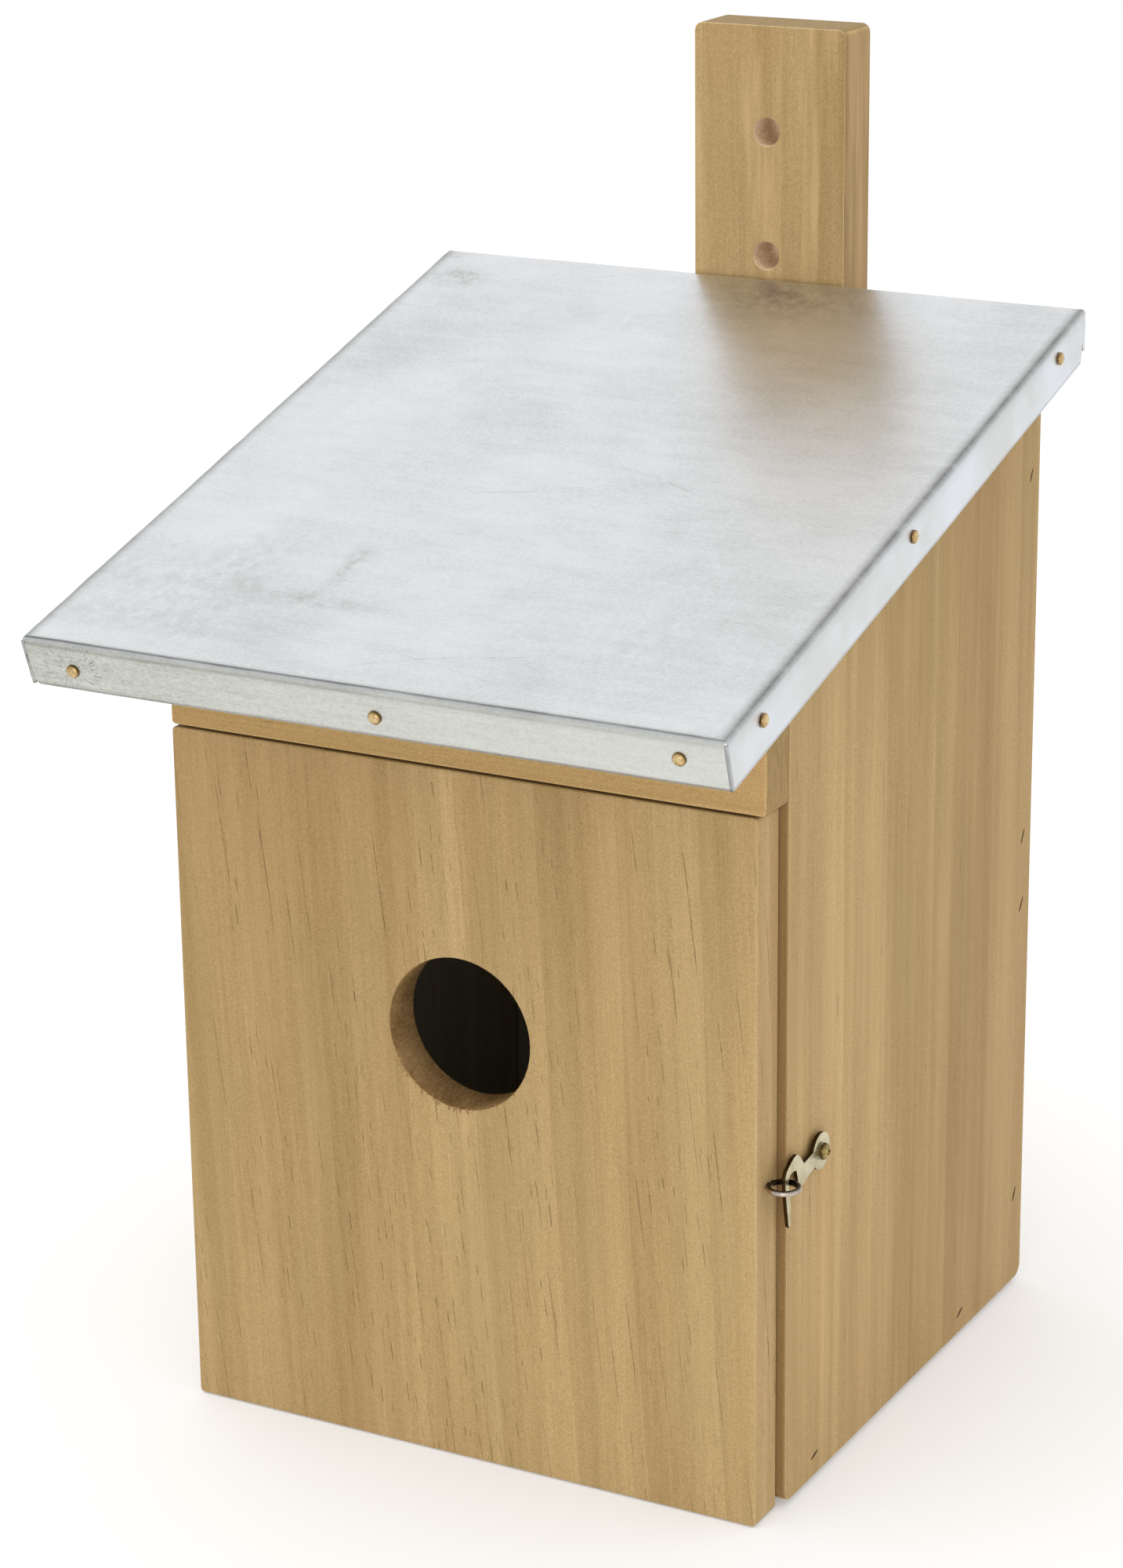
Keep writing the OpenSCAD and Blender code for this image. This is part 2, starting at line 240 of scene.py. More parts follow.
def pine(name, grain, seed, dash=0.0, lean=0.0, stain=(1, 1, 1), wear_and_edge_highlight=0.15, rings=0.03,
         rear_shade=0.0):
    """Stained pine. grain is the board's long direction, dash how many dark resin dashes it
    has, lean how far they run off the board's edge, wear_and_edge_highlight how worn the
    edges are and how strong the painted highlight along them is, rings how clear the growth
    rings are and rear_shade how much painted shade darkens the rear."""
    s = Shader(name)
    x, y, z = s.split(s.place())
    if grain == "X":
        x, z = z, x
    elif grain == "Y":
        y, z = z, y
    side = s.math("ADD", x, y)
    across = s.times_plus(z, lean, side)
    grown = s.join(s.times_plus(z, lean * 0.4, x), y, z)
    shift = (seed * 3.7, seed * 1.3, seed * 2.1)
    wave = s.cloud(grown, (12, 12, 3.0), shift)
    turned = s.times_plus(z, lean * 0.4, side)
    ring = s.math("FRACT", s.times_plus(
        turned, 57.0, s.times_plus(wave, 0.9, seed * 0.2)))
    clear = s.band(side, -0.10, -0.055, 0.25, 1.0)
    broad = s.cloud(grown, (40, 40, 4.0), shift)
    bands = s.cloud(grown, (300, 300, 3.0), shift, 3.0, 0.6)
    fibre = s.cloud(grown, (1900, 1900, 60), shift, 2.0, 0.6)
    sand = s.cloud(grown, (3500, 3500, 2500), shift, 2.0, 0.7)
    total = s.times(broad, 0.29)
    total = s.times_plus(bands, 0.19, total)
    total = s.times_plus(fibre, 0.11, total)
    total = s.times_plus(sand, 0.36, total)
    total = s.times_plus(s.times(ring, clear), rings, total)

    def stained(red, green, blue):
        return tone(red * stain[0], green * stain[1], blue * stain[2])

    colour = s.ramp(total, [
        (0.35, stained(154, 126, 78)), (0.49, stained(184, 155, 107)), (0.63, stained(212, 183, 134))
    ])
    hue = s.cloud(grown, (60, 60, 12), (seed, 5.0, 1.0))
    colour = s.mix(s.band(hue, 0.48, 0.72, 0.0, 0.22), colour, stained(198, 158, 112))
    colour = s.mix(s.band(hue, 0.5, 0.28, 0.0, 0.22), colour, stained(172, 154, 104))
    # The nest room is unstained
    colour = s.mix(s.attribute("inner"), colour, s.ramp(total, [
        (0.35, tone(152, 141, 116)), (0.49, tone(186, 175, 150)), (0.63, tone(214, 204, 180))
    ]))
    streak = resin_dashes(s, across, z, grown, shift, dash, seed)
    colour = s.mix(s.times(streak, 0.74), colour, stained(96, 72, 38))
    # Rubbing left paler streaks along the grain
    scuff = s.cloud(grown, (170, 170, 13), (seed, 2.0, 6.0), 3.0, 0.6)
    colour = s.mix(s.band(scuff, 0.5, 0.68, 0.0, wear_and_edge_highlight * 0.6), colour, stained(222, 190, 140))
    # Cut ends are a little darker; bevelled edges are paler, partly from wear and partly a painted
    # highlight
    end = s.attribute("end")
    pores = s.cloud(s.place(), (1500, 1500, 300), detail=3.0, roughness=0.7)
    end_colour = s.mix(s.band(pores, 0.3, 0.7), stained(146, 122, 80), stained(176, 150, 104))
    colour = s.mix(end, colour, end_colour)
    edge_wear_and_highlight = s.times(s.attribute("edge"), s.band(bands, 0.35, 0.6, wear_and_edge_highlight * 0.3, wear_and_edge_highlight))
    colour = s.mix(edge_wear_and_highlight, colour, stained(226, 202, 154))
    # Painted shade: faces in the dark slit beside the door, the batten's sides and, on the side
    # panels, the rear
    deep = stained(118, 84, 44)
    colour = s.mix(s.attribute("shade"), colour, deep)
    colour = s.mix(s.band(y, 0.0, 0.045, 0.0, rear_shade), colour, deep)
    s.set(Base_Color=colour, Roughness=s.band(total, 0.3, 0.7, 0.74, 0.6),
          Specular_IOR_Level=0.22)
    height = s.times_plus(fibre, 0.5, s.times(sand, 0.4))
    height = s.math("SUBTRACT", height, s.times(streak, 1.2))
    s.bump(height, 0.35, 0.00012)
    return s.material


def bored_wood(name, colours):
    """The fuzzy wall of a drilled hole."""
    s = Shader(name)
    place = s.place()
    fuzz = s.cloud(place, (1600, 700, 1600), detail=4.0, roughness=0.75)
    patch = s.cloud(place, (160, 90, 160))
    value = s.times_plus(fuzz, 0.6, s.times(patch, 0.4))
    s.set(Base_Color=s.ramp(value, list(zip((0.34, 0.5, 0.66), colours))), Roughness=0.9,
          Specular_IOR_Level=0.1)
    s.bump(fuzz, 0.8, 0.0003)
    return s.material


def hairlines(s, place, x, y, colour):
    """A few long scratches, each nearly straight, in two directions."""
    sway = s.times(s.cloud(place, (14, 14, 14)), 0.02)
    for lean, cell, spot in ((0.35, (60 * MM, 90 * MM), 2.0), (-0.2, (45 * MM, 70 * MM), 5.4)):
        along = s.times_plus(y, lean, x)
        off = s.times_plus(x, -lean, s.math("ADD", y, sway))
        line = dashes(s, off, along, cell, 0.4, 0.45 * MM, cell[1], spot)
        patchy = s.band(s.cloud(place, (300, 300, 300), (spot, 0.0, 1.0)), 0.4, 0.6)
        colour = s.mix(s.times(s.times(line, patchy), 0.5), colour,
                       tone(160, 160, 158))
    return colour


def hammer_nicks(s, place, x, z, struck):
    """Short nicks that point away from the struck pin."""
    from_x = s.math("SUBTRACT", x, struck.x)
    from_z = s.math("SUBTRACT", z, struck.z)
    reach = s.math("SQRT", s.math("ADD", s.times(from_x, from_x),
                                  s.times(from_z, from_z)))
    turn = s.times(s.math("ARCTAN2", from_z, from_x), 6 * MM)
    nicks = dashes(s, turn, reach, (1.1 * MM, 3.2 * MM), 0.8, 0.5 * MM, 4.2 * MM, 1.7)
    chatter = s.band(s.cloud(place, (900, 900, 900)), 0.38, 0.55, 0.2, 1.0)
    return s.times(s.times(nicks, chatter), s.attribute("dent"), clamp=True)


def galvanised(name, struck):
    """Dull zinc-coated sheet: rolling streaks along X, blotches, painted shade on the folds and
    the front flange, a painted sheen on the right flange, and hammer nicks round the pin at struck."""
    s = Shader(name)
    place = s.place()
    x, y, z = s.split(place)
    blotch = s.cloud(place, (26, 20, 20), detail=3.0, roughness=0.6)
    streak = s.cloud(place, (55, 240, 240), (3.0, 1.0, 4.0), 4.0, 0.65)
    grain = s.cloud(place, (1100, 1900, 1900), detail=3.0, roughness=0.75)
    value = s.times_plus(blotch, 0.36, s.times(streak, 0.22))
    value = s.times_plus(grain, 0.42, value)
    colour = s.ramp(
        value, [(0.34, tone(200, 202, 203)), (0.5, tone(221, 223, 225)), (0.66, tone(233, 235, 238))]
    )
    # Painted shade: the front flange is darker and greener than the top
    flange = s.attribute("front")
    rolled = s.cloud(place, (60, 900, 900), (1.0, 7.0, 2.0), 3.0, 0.7)
    flange_shade_noise = s.times_plus(rolled, 0.4, s.times(grain, 0.6))
    colour = s.mix(flange, colour, s.ramp(
        flange_shade_noise, [(0.36, tone(168, 170, 160)), (0.5, tone(189, 190, 182)), (0.64, tone(203, 204, 197))]
    ))
    # Towards the right the front flange catches more light
    colour = s.mix(s.times(flange, s.band(x, -0.05, 0.06, 0.0, 0.6)), colour,
                   tone(214, 215, 208))
    # Painted sheen: the right flange gets a lighter, bluish tone
    hazy = s.cloud(place, (45, 45, 45), (7.0, 3.0, 1.0), 3.0, 0.6)
    colour = s.mix(s.attribute("right_flange_sheen"), colour, s.mix(
        s.band(hazy, 0.4, 0.6), tone(206, 208, 206), tone(219, 223, 230)))
    # Painted shade along the folds and bends
    fold_shade_breakup = s.cloud(place, (60, 160, 160), detail=3.0, roughness=0.6)
    fold_shade = s.times(s.attribute("fold"), s.band(fold_shade_breakup, 0.35, 0.6, 0.75, 1.0), clamp=True)
    colour = s.mix(fold_shade, colour, tone(84, 87, 82))
    colour = hairlines(s, place, x, y, colour)
    # Smudges, and one painted reflection, darken the sheet here
    rough_patch = s.cloud(place, (320, 320, 320), (5.0, 0.0, 1.0), 4.0, 0.75)
    smudge_and_reflection = s.times(s.attribute("smudge_and_reflection"), s.band(rough_patch, 0.36, 0.62), clamp=True)
    colour = s.mix(smudge_and_reflection, colour, tone(134, 132, 126))
    nick = hammer_nicks(s, place, x, z, struck)
    colour = s.mix(nick, colour, tone(104, 105, 98))
    s.set(Base_Color=colour, Metallic=1.0, Roughness=s.times_plus(value, 0.16, 0.25))
    height = s.times_plus(grain, 0.35, s.times(nick, -0.8))
    s.bump(s.times_plus(streak, 0.4, height), 0.2, 0.0001)
    return s.material


def metal(name, dark, light, roughness, stain=0.3, scale=600, rim_shade=None):
    """Small metal fittings: tarnish in patches, fine scratches in the gloss, painted shade on the
    rims.
    """
    s = Shader(name)
    place = s.place()
    patch = s.cloud(place, (scale, scale, scale), detail=3.0, roughness=0.6)
    fine = s.cloud(place, (2500, 2500, 700))
    colour = s.mix(s.band(patch, 0.35, 0.65, stain, 0.0), light, dark)
    if rim_shade:
        colour = s.mix(s.attribute("rim_shade"), colour, rim_shade)
    s.set(Base_Color=colour, Metallic=1.0,
          Roughness=s.band(fine, 0.3, 0.7, roughness, roughness + 0.15))
    s.bump(fine, 0.15, 0.00005)
    return s.material


DOOR_PINE = pine("door_pine", "Z", 1.0, dash=0.5, lean=0.12, stain=(0.921, 0.91, 0.892),
                 rings=0.055)
SIDE_PINE = pine("side_pine", "Z", 4.0, dash=0.02, lean=0.01, stain=(0.93, 0.92, 0.89), wear_and_edge_highlight=0.3,
                 rear_shade=0.2)
BACK_PINE = pine("back_pine", "Z", 6.0, dash=0.06, lean=0.02, stain=(0.93, 0.92, 0.9))
BATTEN_PINE = pine("batten_pine", "Z", 9.0, stain=(0.91, 0.9, 0.88), wear_and_edge_highlight=1.0,
                   rings=0.0)
RAIL_PINE = pine("rail_pine", "X", 11.0, dash=0.03, stain=(0.945, 0.915, 0.85))
ROOF_PINE = pine("roof_pine", "Y", 13.0, dash=0.05, stain=(0.93, 0.92, 0.9))
BORE_WOOD = bored_wood("bored_wood", [tone(112, 84, 48), tone(150, 118, 76), tone(178, 146, 100)])
RAW_WOOD = bored_wood("raw_wood", [tone(184, 154, 122), tone(212, 184, 152), tone(230, 208, 178)])
# Where a metal below has a third colour, it is the painted shade on its rims
BRASS = metal("brass", tone(136, 104, 52), tone(222, 198, 150), 0.22, 0.6, 1000,
              tone(146, 112, 62))
OLIVE_BRASS = metal("olive_brass", tone(98, 78, 36), tone(196, 176, 118), 0.3, 0.75, 900,
                    tone(72, 54, 26))
PALE_BRASS = metal("pale_brass", tone(150, 138, 98), tone(208, 200, 168), 0.3, 0.5, 400,
                   tone(66, 50, 26))
STEEL = metal("dull_steel", tone(58, 40, 24), tone(92, 70, 44), 0.55, 0.6)
BRIGHT_STEEL = metal("bright_steel", tone(110, 92, 82), tone(206, 192, 182), 0.2, 0.5, 900,
                     tone(46, 33, 26))


# ---------- boards ----------

def joined(node):
    """A CAD node's shape with its loose triangles joined at their corners."""
    work = bmesh.new()
    work.from_mesh(frame["nodes"][node].data)
    bmesh.ops.remove_doubles(work, verts=work.verts, dist=1e-6)
    return work


def merged(node):
    """The same, with the triangles merged into whole faces."""
    work = joined(node)
    bmesh.ops.dissolve_limit(
        work, angle_limit=math.radians(0.6), verts=work.verts, edges=work.edges
    )
    return work


def separate_solids(node):
    """The corner points of a CAD node's separate solids, one list for each solid."""
    work = joined(node)
    left = set(work.verts)
    found = []
    while left:
        group, todo = [], [left.pop()]
        while todo:
            vert = todo.pop()
            group.append(vert.co.copy())
            for edge in vert.link_edges:
                other = edge.other_vert(vert)
                if other in left:
                    left.remove(other)
                    todo.append(other)
        found.append(group)
    work.free()
    return found


def solids_of(node):
    """Each separate solid of a CAD node, as its lowest and highest corners."""
    found = []
    for points in separate_solids(node):
        low = Vector([min(p[i] for p in points) for i in range(3)])
        high = Vector([max(p[i] for p in points) for i in range(3)])
        found.append((low, high))
    return sorted(found, key=lambda pair: tuple(round(c, 5) for c in pair[0]))


def sharp_edges(work, degrees):
    return [e for e in work.edges if e.is_manifold and e.calc_face_angle(0) > math.radians(degrees)]


def soften(work, edges, width, segments, layer=None):
    made = bmesh.ops.bevel(
        work, geom=edges, offset=width, offset_type="OFFSET", segments=segments, profile=0.5,
        affect="EDGES", clamp_overlap=True,
    )
    for face in made["faces"]:
        face.smooth = True
        if layer is not None:
            face[layer] = 1.0
    return made["faces"]


def board(node, body, finish, grain, thin, corner, rounding, holes=(), hole_finish=None,
          shaded=None):
    """A bevelled board from its CAD solid. thin is the axis across its thickness, holes are
    (centre, radius) of bores along Y, shaded gives each face's painted shade."""
    work = merged(node)
    edge_layer = work.faces.layers.float.new("edge")
    end_layer = work.faces.layers.float.new("end")
    shade_layer = work.faces.layers.float.new("shade")
    inner_layer = work.faces.layers.float.new("inner")
    axes = "XYZ"

    def in_hole(point, slack=0.05 * MM):
        return any(
            abs(math.hypot(point.x - c[0], point.z - c[1]) - r) < slack for c, r in holes
        )

    def across(edge):
        way = (edge.verts[0].co - edge.verts[1].co).normalized()
        return abs(way[axes.index(thin)]) > 0.99

    rims = [e for e in sharp_edges(work, 30) if all(in_hole(v.co) for v in e.verts)]
    if rims:
        soften(work, rims, HOLE_EDGE, 2)
    corners = [e for e in sharp_edges(work, 60) if across(e) and not in_hole(e.verts[0].co)]
    if corners:
        soften(work, corners, corner, 4)
    outer = [e for e in sharp_edges(work, 30) if not any(in_hole(v.co, 0.6 * MM) for v in e.verts)]
    soften(work, outer, rounding, 3, edge_layer)
    for face in work.faces:
        if abs(face.normal[axes.index(grain)]) > 0.8:
            face[end_layer] = 1.0
        centre = face.calc_center_median()
        if shaded:
            face[shade_layer] = shaded(centre, face.normal)
        if faces_inside(centre, face.normal):
            face[inner_layer] = 1.0
        if holes and in_hole(centre, 0.5 * MM) and abs(face.normal.y) < 0.5:
            face.material_index = 1
            face.smooth = True
    mesh = mesh_from(work, node)
    mesh.materials.append(finish)
    if hole_finish:
        mesh.materials.append(hole_finish)
    piece = add_object(node + "_wood", mesh)
    return finish_piece(piece, body, "stained_pine", node)


def hole_of(mount):
    """The place and the dimensions of a mount of the record."""
    found = [m for m in frame["record"]["mounts"] if m["name"] == mount][0]
    return found["pos_m"], found["dims"]


entrance, entrance_size = hole_of("entrance_hole")
entrance_radius = entrance_size["r_mm"] * MM
fixing, fixing_size = hole_of("mounting_holes")
fixing_radius = fixing_size["hole_r_mm"] * MM
half_spacing = fixing_size["spacing_y_mm"] * MM / 2

door_low, door_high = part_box("front_door")
left_wall, right_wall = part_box("side_panel_left"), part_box("side_panel_right")
room_low = Vector((left_wall[1].x, door_high.y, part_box("floor_panel")[1].z))
room_high = Vector((right_wall[0].x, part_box("back_panel")[0].y, left_wall[1].z))
HOLE_EDGE = 0.25 * MM
# How strongly painted shade darkens faces: in the slit beside the door, and on the batten's sides
SLIT_SHADE = 0.55
BATTEN_SHADE = 0.22


def faces_inside(centre, normal):
    """Faces that bound the nest room are bare wood."""
    ahead = centre + normal * 1.5 * MM
    return all(low < at < high for low, at, high in zip(room_low, ahead, room_high))


def behind_door(centre, normal):
    """The side panels' front edges lie in the dark slit beside the door and get painted shade."""
    beside = centre.y < door_high.y + 1.0 * MM and centre.z < door_high.z
    return SLIT_SHADE if normal.y < -0.5 and beside else 0.0


def batten_side(_, normal):
    """Painted shade: the batten's sides are a little darker than its face."""
    return BATTEN_SHADE if abs(normal.x) > 0.9 else 0.0


# Rounding of the boards' long edges, and of their corners as seen on the broad face
EDGE = 0.4 * MM
FRONT_EDGE = 0.45 * MM
BATTEN_EDGE = 0.5 * MM
CORNER = 0.5 * MM
SIDE_CORNER = 0.6 * MM
FRONT_CORNER = 0.9 * MM
BATTEN_CORNER = 1.8 * MM

board("front_door", "door", DOOR_PINE, "Z", "Y", FRONT_CORNER, FRONT_EDGE,
      [((entrance[0], entrance[2]), entrance_radius)], BORE_WOOD)
for panel in ("side_panel_left", "side_panel_right"):
    board(panel, "box", SIDE_PINE, "Z", "X", SIDE_CORNER, EDGE, shaded=behind_door)
board("back_panel", "box", BACK_PINE, "Z", "Y", CORNER, EDGE)
board("floor_panel", "box", BACK_PINE, "X", "Z", CORNER, EDGE)
board("front_rail", "box", RAIL_PINE, "X", "Y", FRONT_CORNER, FRONT_EDGE)
board("roof_board", "box", ROOF_PINE, "Y", "Z", CORNER, EDGE)
board("mounting_batten", "box", BATTEN_PINE, "Z", "Y", BATTEN_CORNER, BATTEN_EDGE,
      [((fixing[0], fixing[2] + side * half_spacing), fixing_radius) for side in (-1, 1)],
      RAW_WOOD, batten_side)


# ---------- folded roof cap ----------

cap_points = [v.co for v in frame["nodes"]["roof_cap"].data.vertices]
front_top = min(cap_points, key=lambda p: (round(p.y, 6), -p.z))
rear_top = max(cap_points, key=lambda p: (round(p.z, 6), p.y))
cap_half = max(p.x for p in cap_points)
slope = math.atan2(rear_top.z - front_top.z, rear_top.y - front_top.y)
cap_length = math.hypot(rear_top.z - front_top.z, rear_top.y - front_top.y)
UPHILL = Vector((0, math.cos(slope), math.sin(slope)))
INWARD = Vector((0, math.sin(slope), -math.cos(slope)))
QUARTER = math.pi / 2
SHEET = 0.6 * MM
FOLD = 0.9 * MM
FOLD_STEPS = 6
FLANGE = 10.4 * MM
REAR_FLANGE = 8.9 * MM
REAR_WIDENING = 0.6 * MM
SIDE_TRIM = 2.1 * MM
TRIM_LENGTH = 7 * MM
FRONT_TAPER = 0.8 * MM
NIP_HEIGHT = 1.6 * MM
NIP_WIDTH = 1.3 * MM
LEFT_LEAN = 0.5 * MM
LEAN_REACH = 35 * MM
CORNER_LAP = 0.05 * MM
MESH_STEP = 1.6 * MM
# How far the sheet lies inside the design's outer faces, which leaves room for its waves
SHEET_INSET = 0.14 * MM
PIN_PROUD = 0.7 * MM
DIMPLE = 0.28 * MM
DIMPLE_SPREAD = 3.2 * MM
STRUCK_SPREAD = 8 * MM
HALF_FLAT = cap_half - FOLD
REAR_START = cap_length - FOLD
REAR_BEND = QUARTER + slope

# Painted shade across the sheet's front and side folds: (distance in mm inwards from where
# the flat top ends, darkness)
FRONT_FOLD = ((-3.2, 0), (-2.3, 0.1), (-2.0, 0.4), (-1.75, 0.42), (-1.5, 0.26), (-0.55, 0.34),
              (-0.3, 0.8), (0, 0.95), (0.25, 0.5), (0.6, 0.12), (1.2, 0))
SIDE_FOLD = ((-4, 0), (-2.2, 0.1), (-1.4, 0.24), (-0.7, 0.5), (0, 0.8), (0.4, 0.64),
             (1.0, 0.3), (2.4, 0))
# Smudges on the sheet, the last one a painted reflection: (x, distance up the slope, size along X,
# size up the slope, darkness)
SMUDGES_AND_REFLECTION = ((-67, 162, 6, 4, 0.55), (-74.5, 171, 3.5, 3, 0.5), (-45, 30, 9, 20, 0.2),
           (-20, 150, 20, 5, 0.12), (48, 60, 12, 25, 0.1), (-60, 12, 30, 5, 0.14),
           (-62, 28, 16, 14, 0.2), (42, 26, 34, 12, 0.12), (-25, 41, 2.4, 7, 0.5),
           (-24, 27, 12, 2.4, 0.4), (10, 166, 17, 9, 0.5))


def on_roof(x, along, down):
    """A place given by X, the way up the slope and the depth under the sheet's top."""
    return Vector((x, front_top.y, front_top.z)) + UPHILL * along + INWARD * down


def roof_place(point):
    """The reverse of on_roof."""
    reach = point - Vector((0, front_top.y, front_top.z))
    return point.x, reach.dot(UPHILL), reach.dot(INWARD)


def level(marks, at):
    """The value of a list of (place, value) marks at one place, in straight lines between."""
    if at <= marks[0][0]:
        return marks[0][1]
    for (low, first), (high, second) in zip(marks, marks[1:]):
        if at <= high:
            return first + (second - first) * (at - low) / (high - low)
    return marks[-1][1]


def steps(first, last, size):
    count = max(1, round(abs(last - first) / size))
    return [first + (last - first) * i / count for i in range(count + 1)]


def with_margins(low, high, margins, size):
    """Stations from low to high: close ones at the margins, then even steps."""
    inner = steps(low + margins[-1], high - margins[-1], size)
    return [low + m for m in margins[:-1]] + inner + [high - m for m in reversed(margins[:-1])]


def fold_distance(edge_gap, down):
    """Distance in mm from the flat top's edge, measured over the fold; minus is outwards."""
    if edge_gap >= 0 and down < 0.3 * MM:
        return edge_gap / MM
    if down < FOLD:
        return -FOLD / MM * math.acos(max(-1.0, min(1.0, 1 - down / FOLD)))
    return -(FOLD * QUARTER + down - FOLD) / MM


# Stations of the mesh: across and along the flat top, round a fold, and down a flange
MARGINS = [0, 0.25 * MM, 0.6 * MM, 1.2 * MM, 2.4 * MM]
ACROSS = with_margins(-HALF_FLAT, HALF_FLAT, MARGINS, MESH_STEP)
ALONG = with_margins(FOLD, REAR_START, MARGINS, MESH_STEP)
TURN = [QUARTER * i / FOLD_STEPS for i in range(FOLD_STEPS + 1)]
DOWN = [FOLD + m * MM for m in (0, 0.15, 0.3, 0.45, 0.6, 0.9, 1.5)]
DOWN += steps(FOLD + 2.4 * MM, FLANGE, 0.9 * MM)


def grid(work, rows):
    made = [[work.verts.new(p) for p in row] for row in rows]
    for low, high in zip(made, made[1:]):
        for i in range(len(low) - 1):
            work.faces.new((low[i], low[i + 1], high[i + 1], high[i]))


def front_flange(work):
    """Front fold and flange. The flange's lower left corner is nipped in and rounded."""
    grid(work, [
        [on_roof(x, FOLD * (1 - math.sin(t)), FOLD * (1 - math.cos(t))) for x in ACROSS]
        for t in TURN
    ])
    rows = []
    for d in DOWN:
        share = (d - FOLD) / (FLANGE - FOLD)
        spread = min(1.0, share * 8) * (FOLD - 0.2 * MM)
        nip = max(0.0, d - FLANGE + NIP_HEIGHT) / NIP_HEIGHT
        rounded = NIP_WIDTH * (1 - math.sqrt(1 - nip ** 2))
        left = -HALF_FLAT - spread + FRONT_TAPER * share + rounded
        right = HALF_FLAT + spread
        rows.append([
            on_roof(left + (right - left) * (x + HALF_FLAT) / (2 * HALF_FLAT), 0, d)
            for x in ACROSS
        ])
    grid(work, rows)


def rear_flange(work):
    """Rear fold and plumb flange, a little wider than the top."""
    bends = [REAR_BEND * i / FOLD_STEPS for i in range(FOLD_STEPS + 1)]
    arc = [(REAR_START + FOLD * math.sin(t), FOLD * (1 - math.cos(t))) for t in bends]
    grid(work, [[on_roof(x, a, d) for x in ACROSS] for a, d in arc])
    rows = []
    for height in steps(0, REAR_FLANGE - FOLD, 1.0 * MM):
        widen = 1 + REAR_WIDENING / HALF_FLAT * min(1.0, height / (2 * MM))
        rows.append([on_roof(x * widen, *arc[-1]) - Vector((0, 0, height)) for x in ACROSS])
    grid(work, rows)


def flange_end(d):
    """Where a side flange ends at the rear, at depth d."""
    y_end = rear_top.y - SIDE_TRIM * d / FLANGE
    return (y_end - front_top.y - d * math.sin(slope)) / math.cos(slope)


def side_flange(work, side):
    """Fold and flange of one side, -1 or 1."""
    grid(work, [
        [on_roof(side * (HALF_FLAT + FOLD * math.sin(t)), a, FOLD * (1 - math.cos(t)))
         for a in ALONG] for t in TURN
    ])
    trim_start = REAR_START - TRIM_LENGTH
    rows = []
    for d in DOWN:
        squeeze = (flange_end(d) - trim_start) / (flange_end(FOLD) - trim_start)
        stations = [CORNER_LAP] + [
            a if a < trim_start else trim_start + (a - trim_start) * squeeze for a in ALONG
        ] + [flange_end(d)]
        share = (d - FOLD) / (FLANGE - FOLD)
        lean = LEFT_LEAN * share if side < 0 else 0.0
        rows.append([
            on_roof(side * (cap_half - lean * math.exp(-a / LEAN_REACH)), a, d) for a in stations
        ])
    grid(work, rows)


def folded_corner(work, side, start, direction, bend):
    """The rounded corner between a side fold and an end fold, which turns by bend."""
    rows = []
    for i in range(FOLD_STEPS + 1):
        swing = QUARTER * i / FOLD_STEPS
        tilt = QUARTER + (bend - QUARTER) * i / FOLD_STEPS
        tips = [tilt * k / FOLD_STEPS for k in range(FOLD_STEPS + 1)]
        rows.append([
            on_roof(
                side * (HALF_FLAT + FOLD * math.sin(tip) * math.cos(swing)),
                start + direction * FOLD * math.sin(tip) * math.sin(swing),
                FOLD * (1 - math.cos(tip)),
            )
            for tip in tips
        ])
    grid(work, rows)


def tucked_tab(work):
    """The front flange's end is tucked behind the right flange; its tip shows below."""
    grid(work, [[on_roof(cap_half - 0.75 * MM, a * MM, (9.6 + 0.45 * i) * MM)
                 for a in (1.2 + 0.3 * i, 2.4, 3.4 - 0.2 * i)] for i in range(4)])


def sheet_marks(x, a, d):
    """Painted shade of the sheet at a place, the front flange's painted shade, and painted sheen."""
    bent = d > 0.05 * MM
    at_front = bent and a < FOLD * 0.98 and abs(x) < cap_half - 0.15 * MM
    if at_front:
        dark = level(FRONT_FOLD, fold_distance(-1, d))
        # The front flange's painted shade fades towards the right and is darkest along its ends
        if d > FOLD * 1.2:
            dark *= 1 - 0.5 * max(0.0, x / cap_half)
            edge = min(abs(x + cap_half), abs(x - cap_half))
            dark = max(dark, 0.95 * math.exp(-((edge / (0.3 * MM)) ** 2)))
        return dark, min(1.0, d / FOLD) * (0.84 - 0.16 * x / cap_half), 0.0
    if bent and abs(x) > HALF_FLAT + 0.02 * MM:
        dark = level(SIDE_FOLD, fold_distance(-1, d))
        # Painted shade at the side fold's front end, and all over the tucked tab
        dark = max(dark, 0.6 * math.exp(-((a / (0.3 * MM)) ** 2)))
        if a < 5 * MM and abs(x) < cap_half - 0.5 * MM:
            dark = 1.0
        return dark, 0.0, 0.8 * min(1.0, d / (2 * FOLD)) if x > 0 else 0.0
    # Painted shade along the rear fold
    if bent and a > cap_length * 0.9:
        return 0.1 + max(0.0, (abs(x) - HALF_FLAT + 0.3 * MM) / (0.8 * MM)), 0.0, 0.0
    on_side = level(SIDE_FOLD, fold_distance(HALF_FLAT - abs(x), d)) * (1.0 if x > 0 else 0.7)
    return max(level(FRONT_FOLD, fold_distance(a - FOLD, d)), on_side), 0.0, 0.0


# Darkness from the smudges, one of them a painted reflection
def smudge_and_reflection_at(x, a):
    return min(1.0, sum(
        dark * math.exp(-(((x / MM - sx) / rx) ** 2) - (((a / MM - sa) / ra) ** 2))
        for sx, sa, rx, ra, dark in SMUDGES_AND_REFLECTION
    ))


